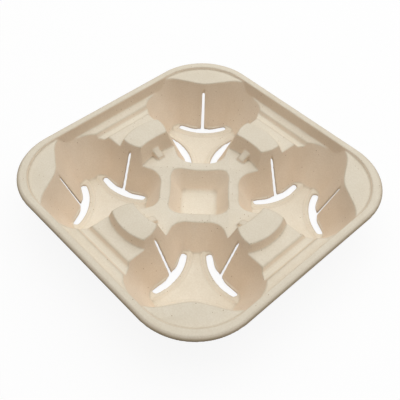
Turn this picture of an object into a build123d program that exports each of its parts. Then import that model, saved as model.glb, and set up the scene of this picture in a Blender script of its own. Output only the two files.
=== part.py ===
from build123d import *
import os
from math import cos, radians, sin, tan

# Moulded-fibre carrier tray for four cups, one pressed piece of even wall
# Millimetres, +Z up, origin below the middle of the tray on the surface that it stands on
# Depths are measured down from the top of the rim, widths across a side from the tray's middle

# Whole tray
tray_side = 215.0
tray_corner_radius = 47.0
tray_height = 41.5
wall = 1.6
edge_round = 0.8
side_count = 4
quarter_turn = 360 / side_count
diagonal = quarter_turn / 2

# Rim, with an outer edge that rolls down a little
rim_width = 6.5
rim_roll_width = 2.2
rim_roll_drop = 1.6
rim_roll_round = 1.2
rim_edge_round = 0.6
rim_root = 3.0
basin_corner_radius = 43.5
basin_draft = 13.5

# Lands, the flat tops of the corner crescents and of the four bridge pads
land_depth = 1.8

# Side shelves between the cups, each with a groove along the rim
shelf_depth = 8.6
shelf_half_length = 43.0
groove_depth = 11.5
groove_inset = 15.6
groove_width = 8.9
groove_draft = 38.0
groove_half_length = 36.0

# Bridge pads, arc-shaped lands between neighbouring cups
pad_arc_centre = 32.5
pad_arc_radius = 38.7
pad_draft = 19.0

# Round recess in the middle, inside the pads
middle_radius = 53.0
middle_depth = 16.0
middle_draft = 14.0

# Shallow saddles along the diagonals, between the middle pocket and the cups
saddle_depth = 18.4
saddle_half_width = 22.0
saddle_reach = 50.0

# Square pocket in the middle, set corner to the sides
pocket_half_width = 21.8
pocket_corner_radius = 6.0
pocket_depth = 33.0
pocket_draft = 31.0
pocket_floor_round = 4.0

# Stacking lugs, ramps down the inner walls of the pads
lug_half_width = 3.2
lug_tip = 42.5
lug_top_depth = 8.5
lug_front_depth = 14.4
lug_round = 1.2

# Cup wells, each three-cornered in plan, with a bulge pressed in from the middle of each side
well_offset = 70.5
well_floor_depth = tray_height - wall
well_floor_round = 1.5
well_foot_bands = 2
well_slope = 24.0
bulge_count = 3
bulge_spacing = 360 / bulge_count
bulge_flare = 14.0
bulge_round = 23.0

# Reaches from the well's middle and corner roundings, at the floor and at the level of the lands
bulge_floor_reach = 20.0
bulge_land_reach = 34.7
lobe_floor_reach = 31.5
lobe_land_reach = 53.5
lobe_floor_round = 8.0
lobe_land_round = 22.0
inward_floor_reach = 29.3
inward_land_reach = 50.3
inward_floor_round = 5.0
inward_land_round = 18.0

# Low raised lip on the floor along the foot of each bulge
lip_height = 1.2
lip_width = 4.4
lip_slope_width = 1.8

# Cuts that let the wall flex: a crescent slot at the foot of each bulge and a slit up its middle
slot_inner_reach = 14.4
slot_end_reach = 19.6
slot_half_length = 19.8
slot_wall_reach = 20.8
slot_wave_reach = 20.2
slot_wave_at = 6.5
slot_hook_reach = 22.4
slot_hook_at = 14.5
slot_end_width = 4.2
slot_end_round = 1.6
slit_foot_width = 2.8
slit_top_width = 2.0
slit_reach = 33.0

# Working clearances of the cutting shapes
over = 1.0
fine = 0.001


def level(depth):
    """Height above the ground of a depth below the rim."""
    return tray_height - depth


def across(draft):
    """Wall thickness measured level through a wall that leans by draft degrees."""
    return wall / cos(radians(draft))


def inset(depth, draft):
    """How far a drafted wall comes in over a depth."""
    return depth * tan(radians(draft))


def quarter_block():
    """The quarter of space with +X and +Y, which the others repeat by turning."""
    with BuildPart() as block:
        Box(tray_side, tray_side, 3 * tray_height, align=(Align.MIN, Align.MIN, Align.CENTER))
    return block.part


def rounded_square(half_width, corner_radius, depth):
    """Face of a rounded square around the middle of the tray at a depth."""
    with BuildSketch(Plane.XY.offset(level(depth))) as outline:
        RectangleRounded(2 * half_width, 2 * half_width, corner_radius)
    return outline.sketch


def basin(depth, grow):
    """Drafted hollow inside the rim down to a depth, its walls moved out by grow."""
    half_top = tray_side / 2 - rim_width + grow
    radius_top = basin_corner_radius + grow
    shrink = inset(depth, basin_draft)
    with BuildPart() as space:
        add(rounded_square(half_top, radius_top, 0))
        add(rounded_square(half_top - shrink, radius_top - shrink, depth))
        loft(ruled=True)
    return space.part


def side_shelf(thick):
    """Hollow over the shelf between two cups, on the +Y side of the tray."""
    grow = across(basin_draft) if thick else 0
    depth = shelf_depth + thick
    pad_grow = across(pad_draft) if thick else 0
    pad_top = pad_arc_radius - inset(land_depth, pad_draft) - pad_grow
    pad_foot = pad_top + inset(depth, pad_draft)
    with BuildPart() as space:
        with BuildSketch(Plane.XY.offset(level(depth))):
            with Locations((0, tray_side / 2)):
                Rectangle(2 * shelf_half_length, 2 * (tray_side / 2 - pad_arc_centre))
        extrude(amount=depth)
        add(basin(depth, grow), mode=Mode.INTERSECT)
        with Locations((0, pad_arc_centre, level(depth / 2))):
            Cone(pad_foot, pad_top, depth, mode=Mode.SUBTRACT)
    return space.part


def side_groove(thick):
    """Groove along the shelf, on the +Y side of the tray."""
    grow = across(groove_draft) if thick else 0
    depth = groove_depth + thick
    narrow = inset(depth - shelf_depth, groove_draft)
    widen = inset(shelf_depth, groove_draft)
    groove_outer = tray_side / 2 - groove_inset
    groove_inner = groove_outer - groove_width
    with BuildPart() as space:
        with BuildSketch(Plane.YZ.offset(-groove_half_length)):
            with BuildLine():
                Polyline(
                    (groove_inner - widen - grow, level(0)),
                    (groove_inner + narrow - grow, level(depth)),
                    (groove_outer - narrow + grow, level(depth)),
                    (groove_outer + widen + grow, level(0)),
                    close=True,
                )
            make_face()
        extrude(amount=2 * groove_half_length)
        add(basin(depth, across(basin_draft) if thick else 0), mode=Mode.INTERSECT)
    return space.part


def middle_recess(thick):
    """Round hollow inside the pads."""
    grow = across(middle_draft) if thick else 0
    depth = middle_depth + thick
    top = middle_radius + inset(land_depth, middle_draft) + grow
    foot = top - inset(depth, middle_draft)
    with BuildPart() as space:
        with Locations((0, 0, level(depth / 2))):
            Cone(foot, top, depth)
    return space.part


def saddle(thick):
    """Shallow round trough along one diagonal, through the middle."""
    sag = saddle_depth - middle_depth
    radius = (saddle_half_width**2 + sag**2) / (2 * sag)
    with BuildPart() as space:
        with BuildSketch(Plane.YZ.offset(-saddle_reach)):
            with Locations((0, level(saddle_depth) + radius)):
                Circle(radius + thick)
            with Locations((0, level(middle_depth + thick) + 2 * radius)):
                Rectangle(4 * radius, 4 * radius, mode=Mode.SUBTRACT)
        extrude(amount=2 * saddle_reach)
    return space.part


def pocket(thick):
    """Square hollow in the middle, its sides across the diagonals."""
    grow = across(pocket_draft) if thick else 0
    depth = pocket_depth + thick
    half_top = pocket_half_width + inset(saddle_depth, pocket_draft) + grow
    half_foot = half_top - inset(depth, pocket_draft)
    radius_top = pocket_corner_radius + inset(saddle_depth, pocket_draft)
    radius_foot = pocket_corner_radius / 2 + grow
    with BuildPart() as space:
        with BuildSketch(Plane.XY.offset(level(0)).rotated((0, 0, diagonal))):
            RectangleRounded(2 * half_top, 2 * half_top, radius_top)
        with BuildSketch(Plane.XY.offset(level(depth)).rotated((0, 0, diagonal))):
            RectangleRounded(2 * half_foot, 2 * half_foot, radius_foot)
        loft(ruled=True)
        fillet(space.faces().sort_by(Axis.Z)[0].edges(), pocket_floor_round + thick)
    return space.part


def between(floor_size, land_size, depth):
    """Size of a well at a depth, from its sizes at the floor and at the lands."""
    rise = (well_floor_depth - depth) / (well_floor_depth - land_depth)
    return floor_size + (land_size - floor_size) * rise


def well_outline(depth, grow):
    """Face across the well at a depth, its sides moved out by grow, with +X pointing to the tray's corner."""
    lean = radians(bulge_flare)
    bulge_gap = bulge_round * (1 / cos(lean) - 1)
    side = between(bulge_floor_reach, bulge_land_reach, depth) - bulge_gap + grow / cos(lean)
    lobe_end = between(lobe_floor_reach, lobe_land_reach, depth) + grow
    lobe_round = between(lobe_floor_round, lobe_land_round, depth) + grow
    inward_end = between(inward_floor_reach, inward_land_reach, depth) + grow
    inward_round = between(inward_floor_round, inward_land_round, depth) + grow
    half = radians(bulge_spacing / 2)
    corners = []
    rounds = []
    for bulge in range(bulge_count):
        before_inward = bulge == 1
        after_inward = bulge == 2
        for hand, inward in ((-1, after_inward), (0, False), (1, before_inward)):
            end = inward_end if inward else lobe_end
            y = hand * (end - side * cos(half)) / (tan(lean) * cos(half) + sin(half))
            corners.append(Vector(side + abs(y) * tan(lean), y).rotate(Axis.Z, bulge * bulge_spacing))
            if hand == 0:
                rounds.append(bulge_round - grow)
            else:
                rounds.append(inward_round if inward else lobe_round)
    with BuildSketch() as outline:
        with BuildLine():
            Polyline(*corners, close=True)
        make_face()
        for corner, radius in zip(corners, rounds):
            fillet(outline.vertices().sort_by_distance(corner)[0], radius)
    return Pos(0, 0, level(depth)) * outline.sketch


def well(thick):
    """Hollow of one cup well around its own middle, with +X pointing to the tray's corner."""
    grow = across(well_slope) if thick else 0
    depth = well_floor_depth + thick
    foot_radius = well_floor_round + thick
    turn = quarter_turn - well_slope
    sections = []
    for step in range(well_foot_bands + 1):
        angle = radians(turn * step / well_foot_bands)
        rise = foot_radius * (1 - cos(angle))
        shift = foot_radius * (sin(angle) - tan(radians(turn / 2))) - inset(rise, well_slope)
        sections.append((depth - rise, grow + shift))
    sections.append((0, grow))
    slot_rise = slot_end_reach - slot_inner_reach
    slot_radius = (slot_half_length**2 + slot_rise**2) / (2 * slot_rise)
    lip_centre = slot_inner_reach + slot_radius
    lip_foot = slot_radius + lip_width - thick
    with BuildPart() as space:
        for section_depth, section_grow in sections:
            add(well_outline(section_depth, section_grow))
        loft(ruled=True)
        with PolarLocations(0, bulge_count):
            with Locations((lip_centre, 0, level(depth) + lip_height / 2)):
                Cone(lip_foot, lip_foot - lip_slope_width, lip_height, mode=Mode.SUBTRACT)
    return space.part


def lug(thick):
    """Wedge on the inner wall of the +Y pad."""
    half = lug_half_width - thick
    foot = middle_depth + thick + over
    with BuildPart() as wedge:
        with BuildSketch(Plane.YZ.offset(-half)):
            with BuildLine():
                Polyline(
                    (middle_radius + over, level(lug_top_depth + thick)),
                    (lug_tip + thick, level(lug_front_depth + thick)),
                    (lug_tip + thick - inset(foot - lug_front_depth, -middle_draft), level(foot)),
                    (middle_radius + over, level(foot)),
                    close=True,
                )
            make_face()
        extrude(amount=2 * half)
        if not thick:
            top = wedge.faces().sort_by(Axis.Z)[-1]
            fillet(top.edges().filter_by_position(Axis.Y, 0, middle_radius), lug_round)
    return wedge.part


def air(thick):
    """Everything above one face of the wall in one quarter: the upper face, or the under face when thick."""
    grow = across(basin_draft) if thick else 0
    land = basin(land_depth + thick, grow)
    bounds = basin(well_floor_depth + thick, grow)
    shelf = side_shelf(thick)
    groove = side_groove(thick)
    recess = middle_recess(thick)
    trough = saddle(thick)
    square = pocket(thick)
    cup = well(thick)
    nub = lug(thick)
    with BuildPart() as cup_space:
        with PolarLocations(well_offset, 1, start_angle=diagonal):
            add(cup)
        add(bounds, mode=Mode.INTERSECT)
    with BuildPart() as space:
        add(recess)
        with PolarLocations(0, 2, start_angle=diagonal, angular_range=2 * quarter_turn):
            add(trough)
        with PolarLocations(0, 2, angular_range=-2 * quarter_turn):
            add(nub, mode=Mode.SUBTRACT)
        add(square)
        add(land)
        with PolarLocations(0, 2, angular_range=-2 * quarter_turn):
            add(shelf)
            add(groove)
        add(cup_space.part)
        add(quarter_block(), mode=Mode.INTERSECT)
    return space.part


def rim():
    """Flat flange round the tray, its outer edge rolled down."""
    outer = tray_side / 2
    inner = outer - rim_width - rim_root
    with BuildPart() as flange:
        with BuildLine():
            FilletPolyline(
                (outer, 0, level(0)),
                (outer, outer, level(0)),
                (-outer, outer, level(0)),
                (-outer, 0, level(0)),
                radius=tray_corner_radius,
            )
        with BuildSketch(Plane.XZ):
            with BuildLine():
                Polyline(
                    (inner, level(0)),
                    (outer - rim_roll_width, level(0)),
                    (outer, level(rim_roll_drop)),
                    (outer, level(rim_roll_drop + wall)),
                    (outer - wall / 2, level(rim_roll_drop + wall)),
                    (outer - rim_roll_width - wall / 2, level(wall)),
                    (inner, level(wall)),
                    close=True,
                )
            section = make_face()
            corners = section.vertices()
            bends = corners.filter_by_position(Axis.X, outer - rim_roll_width - wall, outer - wall)
            fillet(bends, rim_roll_round)
            fillet(section.vertices().group_by(Axis.X)[-1], rim_edge_round)
        sweep()
        mirror(about=Plane.XZ)
    return flange.part


def flex_cuts():
    """Crescent slot and slit of one bulge, around the well's middle, with the bulge on +X."""
    with BuildPart() as cuts:
        with BuildSketch(Plane.XY.offset(-over)) as slot:
            with BuildLine():
                lower = ThreePointArc(
                    (slot_end_reach, -slot_half_length),
                    (slot_inner_reach, 0),
                    (slot_end_reach, slot_half_length),
                )
                upper = Spline(
                    (slot_end_reach + slot_end_width, slot_half_length),
                    (slot_hook_reach, slot_hook_at),
                    (slot_wave_reach, slot_wave_at),
                    (slot_wall_reach, 0),
                    (slot_wave_reach, -slot_wave_at),
                    (slot_hook_reach, -slot_hook_at),
                    (slot_end_reach + slot_end_width, -slot_half_length),
                )
                Line(lower @ 1, upper @ 0)
                Line(upper @ 1, lower @ 0)
            make_face()
            fillet(slot.vertices(), slot_end_round)
        extrude(amount=tray_height / 2)
        with BuildSketch(Plane.XY.offset(-over)):
            with BuildLine():
                Polyline(
                    (slot_inner_reach + over, -slit_foot_width / 2),
                    (slit_reach, -slit_top_width / 2),
                    (slit_reach, slit_top_width / 2),
                    (slot_inner_reach + over, slit_foot_width / 2),
                    close=True,
                )
            make_face()
        extrude(amount=tray_height)
    return cuts.part


def brink_edges(part, depth):
    """Edges of one quarter's upward faces at a depth, along walls whose middles lie lower."""
    lowest = level(depth) - fine
    flats = part.faces().filter_by(Plane.XY).filter_by_position(Axis.Z, lowest, lowest + 2 * fine)
    flats = flats.filter_by(lambda face: face.normal_at().Z > 0)
    walls = part.faces().filter_by(lambda face: face.center().Z < level(depth) - wall / 2)
    edges = flats.edges() & walls.edges()
    return edges.filter_by_position(Axis.X, over, tray_side).filter_by_position(Axis.Y, over, tray_side)


upper_air = air(0)
under_air = air(wall)
flange = rim()
tee = flex_cuts()
block = quarter_block()

with BuildPart() as quarter:
    add(flange)
    add(block, mode=Mode.INTERSECT)
    add(under_air)
    add(upper_air, mode=Mode.SUBTRACT)
    brinks = [brink_edges(quarter.part, depth) for depth in (0, land_depth, shelf_depth)]
    fillet([edge for brink in brinks for edge in brink], edge_round)
    with PolarLocations(well_offset, 1, start_angle=diagonal):
        with PolarLocations(0, bulge_count):
            add(tee, mode=Mode.SUBTRACT)

with BuildPart() as carrier:
    with PolarLocations(0, side_count):
        add(quarter.part)

carrier.part.label = "cup_carrier"

os.makedirs("parts", exist_ok=True)
export_step(carrier.part, "parts/cup_carrier.step")
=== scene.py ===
import math

import bmesh
import bpy
import numpy as np
from mathutils import Matrix, Vector, noise


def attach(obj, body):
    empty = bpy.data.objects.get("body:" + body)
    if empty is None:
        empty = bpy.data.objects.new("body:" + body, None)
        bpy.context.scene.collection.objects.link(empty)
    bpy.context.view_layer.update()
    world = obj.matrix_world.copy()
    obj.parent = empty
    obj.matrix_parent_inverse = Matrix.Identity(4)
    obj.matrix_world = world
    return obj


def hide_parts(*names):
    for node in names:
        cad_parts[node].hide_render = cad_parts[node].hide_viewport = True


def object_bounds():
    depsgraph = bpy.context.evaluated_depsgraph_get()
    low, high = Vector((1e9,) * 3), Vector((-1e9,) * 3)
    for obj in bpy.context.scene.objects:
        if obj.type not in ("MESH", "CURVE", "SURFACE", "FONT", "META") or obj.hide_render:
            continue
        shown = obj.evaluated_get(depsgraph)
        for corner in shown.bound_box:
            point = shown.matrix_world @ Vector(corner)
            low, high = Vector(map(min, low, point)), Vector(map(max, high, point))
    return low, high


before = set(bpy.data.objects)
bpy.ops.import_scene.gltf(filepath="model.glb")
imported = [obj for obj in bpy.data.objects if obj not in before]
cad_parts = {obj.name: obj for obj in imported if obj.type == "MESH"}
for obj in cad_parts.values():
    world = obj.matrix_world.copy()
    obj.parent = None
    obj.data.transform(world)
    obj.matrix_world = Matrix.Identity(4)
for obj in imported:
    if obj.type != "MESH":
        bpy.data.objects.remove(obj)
cad_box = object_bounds()

# Lengths are in metres, apart from the camera's lens and sensor, and colours are linear
TABLE_HEIGHT = 0.0
HALF_SIDE = cad_box[1][0]
RIM_HEIGHT = cad_box[1][2]
CORNER_RADIUS = 0.047

# Rebuilding the tray's mesh: its grid, then the softened edges, then the uneven surface
WELD = 1e-6
VOXEL = 0.0006
SMOOTH_FACTOR = 0.5
SMOOTH_PASSES = 2
MOST_TRIANGLES = 190000
SWELL_HEIGHT = 0.00008
SWELL_SCALE = 110.0

# The photograph's camera, with its lens and sensor in millimetres
CAMERA_AT = Vector((0.2228, -0.2172, 0.3781))
CAMERA_TO = Vector((0.0178, -0.0163, 0.0415))
CAMERA_ROLL = math.radians(1.83)
CAMERA_LENS = 56.8
CAMERA_SENSOR = 36.0
CAMERA_NEAREST = 0.01
CAMERA_FARTHEST = 50.0

WHITE = (1.0, 1.0, 1.0)
BLACK = (0.0, 0.0, 0.0)

# Pressed pulp: broad mottling, then fine fibres over it. A scale is a count to the metre
FIBRE = (0.765, 0.690, 0.560)
FIBRE_PALE = (0.800, 0.730, 0.605)
FIBRE_DARK = (0.64, 0.54, 0.40)
FIBRE_ROUGHNESS = 0.92
FIBRE_SPECULAR = 0.25
MOTTLE_SCALE = 60.0
MOTTLE_DETAIL = 3.0
MOTTLE_STOPS = [(0.30, FIBRE), (0.70, FIBRE_PALE)]
STRANDS_SCALE = 900.0
STRANDS_DETAIL = 4.0
STRANDS_ROUGHNESS = 0.65
STRANDS_STOPS = [(0.36, BLACK), (0.62, WHITE)]
STRANDS_SHARE = 0.30
BUMP_STRENGTH = 0.35
BUMP_DISTANCE = 0.0004

# Dark specks: the cells that they are set in, their radius in a cell, and the share of cells with one
SPECK = (0.45, 0.33, 0.20)
SPECK_CELLS = 330.0
SPECK_RADIUS = 0.11
SPECK_SHARE = 0.22

# Painted shade: steep walls are painted browner, as the dimmer, warmer light on them would make them.
# Steepness is read from the upward part of the surface's normal
STEEP_PAINTED_SHADE = (1.08, 0.998, 0.953)
STEEP_SHADE_FROM = 0.95
STEEP_SHADE_TO = 0.45

# The low parts are paler than the lands and the rim
LOW_TINT = (1.03, 1.045, 1.07)

# How far the surface bends, from creases through flat parts to brinks, with the painted shade at each:
# darker in creases and along brinks. It is left out on steep walls, and comes in with the upward part of
# the normal
CREASE_PAINTED_SHADE = (0.55, 0.48, 0.39)
BRINK_PAINTED_SHADE = (0.66, 0.61, 0.54)
BEND_SHADE_STOPS = [(0.43, CREASE_PAINTED_SHADE), (0.495, WHITE), (0.506, WHITE), (0.57, BRINK_PAINTED_SHADE)]
LEVEL_FROM = 0.42
LEVEL_TO = 0.62

# Painted shade darkens the rim's outer edge. The painted shade starts and is full this far inside the
# edge
RIM_EDGE_PAINTED_SHADE = (0.66, 0.63, 0.56)
RIM_SHADE_START = 0.0015
RIM_SHADE_FULL = 0.0004

# Lights: a broad one overhead, a little behind and to the left, and a soft surround that fades low down
LIT_MIDDLE = Vector((0.0, 0.0, 0.02))
OVERHEAD_AT = Vector((-0.075, 0.30, 1.20))
OVERHEAD_SIZE = 2.2
OVERHEAD_POWER = 21.2
OVERHEAD_COLOUR = (0.97, 0.99, 1.0)
SURROUND_COLOUR = (1.0, 0.95, 0.90)
SURROUND_STRENGTH = 0.375
BACKDROP_STRENGTH = 1.0

# The floor's tone for light that falls on it, its tone as seen, and how much of that is a plain glow
FLOOR_REACH = 6.0
FLOOR_TONE = 0.30
FLOOR_SEEN_TONE = 0.98
FLOOR_GLOW_SHARE = 0.90


def apply_modifier(obj, kind, settings):
    """Adds a modifier with its settings and applies it to the mesh."""
    modifier = obj.modifiers.new(kind.lower(), kind)
    for name, value in settings.items():
        setattr(modifier, name, value)
    bpy.context.view_layer.objects.active = obj
    bpy.ops.object.modifier_apply(modifier=modifier.name)


def count_triangles(mesh):
    """Number of triangles that the mesh's polygons make."""
    return sum(len(polygon.vertices) - 2 for polygon in mesh.polygons)


def weld(mesh):
    """Joins the vertices that the CAD faces share along their edges."""
    joined = bmesh.new()
    joined.from_mesh(mesh)
    bmesh.ops.remove_doubles(joined, verts=joined.verts, dist=WELD)
    joined.to_mesh(mesh)
    joined.free()


def rebuild(obj):
    """Rebuilds a mesh on a fine grid, softens its edges and thins out its flat parts."""
    apply_modifier(obj, "REMESH", {"mode": "VOXEL", "voxel_size": VOXEL, "use_smooth_shade": True})
    apply_modifier(obj, "SMOOTH", {"factor": SMOOTH_FACTOR, "iterations": SMOOTH_PASSES})
    before = count_triangles(obj.data)
    apply_modifier(obj, "DECIMATE", {"ratio": min(1.0, MOST_TRIANGLES / before)})
    print("triangles", before, "kept", count_triangles(obj.data))


def swell(mesh):
    """Moves the surface in and out a little, as pulp dries, but leaves the feet flat on the table."""
    count = len(mesh.vertices)
    co = np.zeros(count * 3, np.float32)
    mesh.vertices.foreach_get("co", co)
    co = co.reshape(-1, 3)
    normals = np.zeros(count * 3, np.float32)
    mesh.vertex_normals.foreach_get("vector", normals)
    normals = normals.reshape(-1, 3)
    lift = np.array([noise.noise(Vector(p) * SWELL_SCALE) for p in co.tolist()], np.float32)
    co += normals * lift[:, None] * SWELL_HEIGHT
    co[:, 2] = np.maximum(co[:, 2], TABLE_HEIGHT)
    mesh.vertices.foreach_set("co", co.ravel())
    mesh.update()


def fill(tree, socket, value):
    """Links a socket to another one, or sets its own value. A plain colour is opaque."""
    if isinstance(value, bpy.types.NodeSocket):
        tree.links.new(value, socket)
    elif socket.type == "RGBA":
        socket.default_value = (*value, 1.0)
    else:
        socket.default_value = value


def add_node(tree, kind, inputs):
    """Adds a node and fills its inputs by their names."""
    node = tree.nodes.new("ShaderNode" + kind)
    for name, value in inputs.items():
        fill(tree, node.inputs[name], value)
    return node


def add_in_order(tree, kind, *values):
    """Adds a node and fills its first inputs in order."""
    node = tree.nodes.new("ShaderNode" + kind)
    for socket, value in zip(node.inputs, values):
        fill(tree, socket, value)
    return node


def calculate(tree, operation, *values):
    """Socket with the result of a calculation on numbers."""
    node = add_in_order(tree, "Math", *values)
    node.operation = operation
    return node.outputs["Value"]


def calculate_vector(tree, operation, *values):
    """Socket with the result of a calculation on vectors. A length is a number."""
    node = add_in_order(tree, "VectorMath", *values)
    node.operation = operation
    return node.outputs["Value" if operation == "LENGTH" else "Vector"]


def ramp(tree, value, stops):
    """Socket with the colour that the stops, each a position and a colour, give to a value."""
    node = add_node(tree, "ValToRGB", {"Fac": value})
    elements = node.color_ramp.elements
    for at, _ in stops[1:-1]:
        elements.new(at)
    for element, (at, colour) in zip(elements, stops):
        element.position = at
        element.color = (*colour, 1.0)
    return node.outputs["Color"]


def mix(tree, share, first, second, blend="MIX"):
    """Socket with a mix of two colours."""
    node = add_node(tree, "Mix", {})
    node.data_type = "RGBA"
    node.blend_type = blend
    fill(tree, node.inputs["Factor"], share)
    for name, colour in (("A", first), ("B", second)):
        socket = next(s for s in node.inputs if s.name == name and s.type == "RGBA")
        fill(tree, socket, colour)
    return next(s for s in node.outputs if s.type == "RGBA")


def tint(tree, share, colour, tone):
    """Socket with a colour that is multiplied by a tone, as far as the share says."""
    partly = mix(tree, share, WHITE, tone)
    return mix(tree, 1.0, colour, partly, "MULTIPLY")


def share_of_way(tree, value, start, end, shape="LINEAR"):
    """Socket that goes from 0 to 1 while a value goes from start to end."""
    node = add_node(tree, "MapRange", {"Value": value, "From Min": start, "From Max": end})
    node.interpolation_type = shape
    return node.outputs["Result"]


def upward_part(tree, vector):
    """Socket with the Z part of a vector."""
    return add_node(tree, "SeparateXYZ", {"Vector": vector}).outputs["Z"]


def empty_material(name):
    """New material with no nodes yet."""
    mat = bpy.data.materials.new(name)
    mat.use_nodes = True
    mat.node_tree.nodes.clear()
    return mat


def pulp_colour(tree, place, strands):
    """Socket with the colour of mottled pulp, with darker fibres and a few dark specks."""
    mottle = add_node(tree, "TexNoise", {
        "Vector": place,
        "Scale": MOTTLE_SCALE,
        "Detail": MOTTLE_DETAIL,
    })
    base = ramp(tree, mottle.outputs["Fac"], MOTTLE_STOPS)
    stranded = mix(tree, ramp(tree, strands, STRANDS_STOPS), FIBRE_DARK, base)
    pulp = mix(tree, STRANDS_SHARE, base, stranded)
    cells = add_node(tree, "TexVoronoi", {"Vector": place, "Scale": SPECK_CELLS})
    draw = add_node(tree, "SeparateColor", {"Color": cells.outputs["Color"]})
    close = calculate(tree, "LESS_THAN", cells.outputs["Distance"], SPECK_RADIUS)
    chosen = calculate(tree, "LESS_THAN", draw.outputs["Red"], SPECK_SHARE)
    return mix(tree, calculate(tree, "MULTIPLY", close, chosen), pulp, SPECK)


def corner_reach(tree, place):
    """Socket with the distance, seen from above, from the square between the corners' middles."""
    middle = HALF_SIDE - CORNER_RADIUS
    apart = calculate_vector(tree, "ABSOLUTE", place)
    flat = calculate_vector(tree, "MULTIPLY", apart, (1.0, 1.0, 0.0))
    past = calculate_vector(tree, "SUBTRACT", flat, (middle, middle, 0.0))
    outside = calculate_vector(tree, "MAXIMUM", past, (0.0, 0.0, 0.0))
    return calculate_vector(tree, "LENGTH", outside)


def fibre_material():
    """Pressed pulp: matt, mottled and fibrous, paler low down, with painted shade on steep walls, in
    creases, along brinks and on the rim's outer edge.
    """
    mat = empty_material("fibre")
    tree = mat.node_tree
    coordinates = add_node(tree, "TexCoord", {}).outputs
    place = coordinates["Object"]
    upward = upward_part(tree, coordinates["Normal"])
    bend = add_node(tree, "NewGeometry", {}).outputs["Pointiness"]
    strands = add_node(tree, "TexNoise", {
        "Vector": place,
        "Scale": STRANDS_SCALE,
        "Detail": STRANDS_DETAIL,
        "Roughness": STRANDS_ROUGHNESS,
    }).outputs["Fac"]

    # How much of each tint and each painted shade a place takes
    steep_shade_share = share_of_way(tree, upward, STEEP_SHADE_FROM, STEEP_SHADE_TO)
    low = share_of_way(tree, upward_part(tree, place), RIM_HEIGHT, TABLE_HEIGHT, "SMOOTHSTEP")
    bend_shade_share = share_of_way(tree, upward, LEVEL_FROM, LEVEL_TO)
    reach = corner_reach(tree, place)
    rim_edge_shade_share = share_of_way(tree, reach, CORNER_RADIUS - RIM_SHADE_START, CORNER_RADIUS - RIM_SHADE_FULL)

    colour = pulp_colour(tree, place, strands)
    # Painted shade: steep walls are made browner
    colour = tint(tree, steep_shade_share, colour, STEEP_PAINTED_SHADE)
    colour = tint(tree, low, colour, LOW_TINT)
    # Painted shade in creases and along brinks, read from how far the surface bends
    colour = tint(tree, bend_shade_share, colour, ramp(tree, bend, BEND_SHADE_STOPS))
    # Painted shade along the rim's outer edge
    colour = tint(tree, rim_edge_shade_share, colour, RIM_EDGE_PAINTED_SHADE)

    bump = add_node(tree, "Bump", {
        "Strength": BUMP_STRENGTH,
        "Distance": BUMP_DISTANCE,
        "Height": strands,
    })
    shader = add_node(tree, "BsdfPrincipled", {
        "Base Color": colour,
        "Roughness": FIBRE_ROUGHNESS,
        "Specular IOR Level": FIBRE_SPECULAR,
        "Normal": bump.outputs["Normal"],
    })
    add_node(tree, "OutputMaterial", {"Surface": shader.outputs["BSDF"]})
    return mat


def seen_directly(tree):
    """Socket that is 1 for the rays of the camera, of reflections and of anything clear, else 0."""
    path = add_node(tree, "LightPath", {}).outputs
    seen = calculate(tree, "MAXIMUM", path["Is Camera Ray"], path["Is Glossy Ray"])
    return calculate(tree, "MAXIMUM", seen, path["Is Transmission Ray"])


def floor_material():
    """Pale floor that the camera sees as white, with the tray's shadow left on it faintly."""
    mat = empty_material("floor")
    tree = mat.node_tree
    seen = seen_directly(tree)
    tone = add_node(tree, "MapRange", {
        "Value": seen,
        "To Min": FLOOR_TONE,
        "To Max": FLOOR_SEEN_TONE,
    })
    matt = add_node(tree, "BsdfDiffuse", {"Color": tone.outputs["Result"]}).outputs["BSDF"]
    glow = add_node(tree, "Emission", {"Color": WHITE}).outputs["Emission"]
    share = calculate(tree, "MULTIPLY", seen, FLOOR_GLOW_SHARE)
    both = add_in_order(tree, "MixShader", share, matt, glow)
    add_node(tree, "OutputMaterial", {"Surface": both.outputs["Shader"]})
    return mat


def surround():
    """World that is white to the camera and a soft warm light, strongest from above, to the rest."""
    world = bpy.data.worlds.new("surround")
    world.use_nodes = True
    tree = world.node_tree
    tree.nodes.clear()
    direction = add_node(tree, "TexCoord", {}).outputs["Generated"]
    fade = add_node(tree, "MapRange", {
        "Value": upward_part(tree, direction),
        "To Max": SURROUND_STRENGTH,
    })
    light = add_node(tree, "Background", {
        "Color": SURROUND_COLOUR,
        "Strength": fade.outputs["Result"],
    }).outputs["Background"]
    backdrop = add_node(tree, "Background", {
        "Color": WHITE,
        "Strength": BACKDROP_STRENGTH,
    }).outputs["Background"]
    both = add_in_order(tree, "MixShader", seen_directly(tree), light, backdrop)
    add_node(tree, "OutputWorld", {"Surface": both.outputs["Shader"]})
    return world


def add_object(name, data):
    """Puts a mesh, lamp or camera into the scene."""
    obj = bpy.data.objects.new(name, data)
    bpy.context.scene.collection.objects.link(obj)
    return obj


def turn_object(obj, quaternion):
    """Turns an object to the direction that a quaternion gives."""
    obj.rotation_mode = "QUATERNION"
    obj.rotation_quaternion = quaternion


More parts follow.
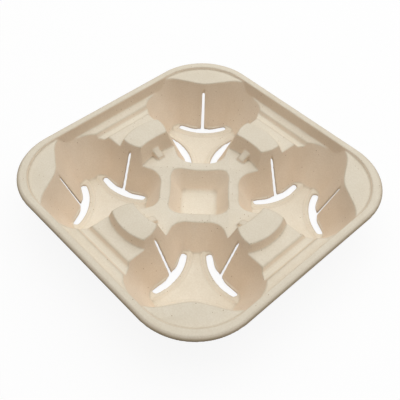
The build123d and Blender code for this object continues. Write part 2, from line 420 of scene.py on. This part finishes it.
def add_tray():
    """The tray, rebuilt from its CAD mesh with softer edges, in pressed pulp."""
    tray = add_object("fibre_tray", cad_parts["cup_carrier"].data.copy())
    weld(tray.data)
    rebuild(tray)
    swell(tray.data)
    tray.data.materials.clear()
    tray.data.materials.append(fibre_material())
    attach(tray, "root")
    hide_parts("cup_carrier")


def add_floor():
    """The level floor that the tray stands on."""
    low, high = -FLOOR_REACH, FLOOR_REACH
    corners = [(x, y, TABLE_HEIGHT) for x, y in ((low, low), (high, low), (high, high), (low, high))]
    mesh = bpy.data.meshes.new("floor")
    mesh.from_pydata(corners, [], [(0, 1, 2, 3)])
    mesh.materials.append(floor_material())
    add_object("floor", mesh)


def add_overhead_light():
    """Broad square lamp that is aimed at the tray."""
    data = bpy.data.lights.new("overhead", "AREA")
    data.shape = "SQUARE"
    data.size = OVERHEAD_SIZE
    data.energy = OVERHEAD_POWER
    data.color = OVERHEAD_COLOUR
    lamp = add_object("overhead", data)
    lamp.location = OVERHEAD_AT
    turn_object(lamp, (LIT_MIDDLE - OVERHEAD_AT).to_track_quat("-Z", "Y"))


def add_camera():
    """Camera at the photograph's viewing angle, rolled a little, as the photograph is."""
    data = bpy.data.cameras.new("camera")
    data.lens = CAMERA_LENS
    data.sensor_width = CAMERA_SENSOR
    data.sensor_fit = "AUTO"
    data.clip_start = CAMERA_NEAREST
    data.clip_end = CAMERA_FARTHEST
    camera = add_object("camera", data)
    look = (CAMERA_TO - CAMERA_AT).normalized()
    right = look.cross(Vector((0, 0, 1))).normalized()
    up = right.cross(look)
    right_rolled = right * math.cos(CAMERA_ROLL) + up * math.sin(CAMERA_ROLL)
    up_rolled = -right * math.sin(CAMERA_ROLL) + up * math.cos(CAMERA_ROLL)
    turn = Matrix((right_rolled, up_rolled, -look)).transposed()
    camera.location = CAMERA_AT
    turn_object(camera, turn.to_quaternion())
    bpy.context.scene.camera = camera


add_tray()
add_floor()
add_overhead_light()
add_camera()
bpy.context.scene.world = surround()
bpy.context.scene.view_settings.view_transform = "Standard"
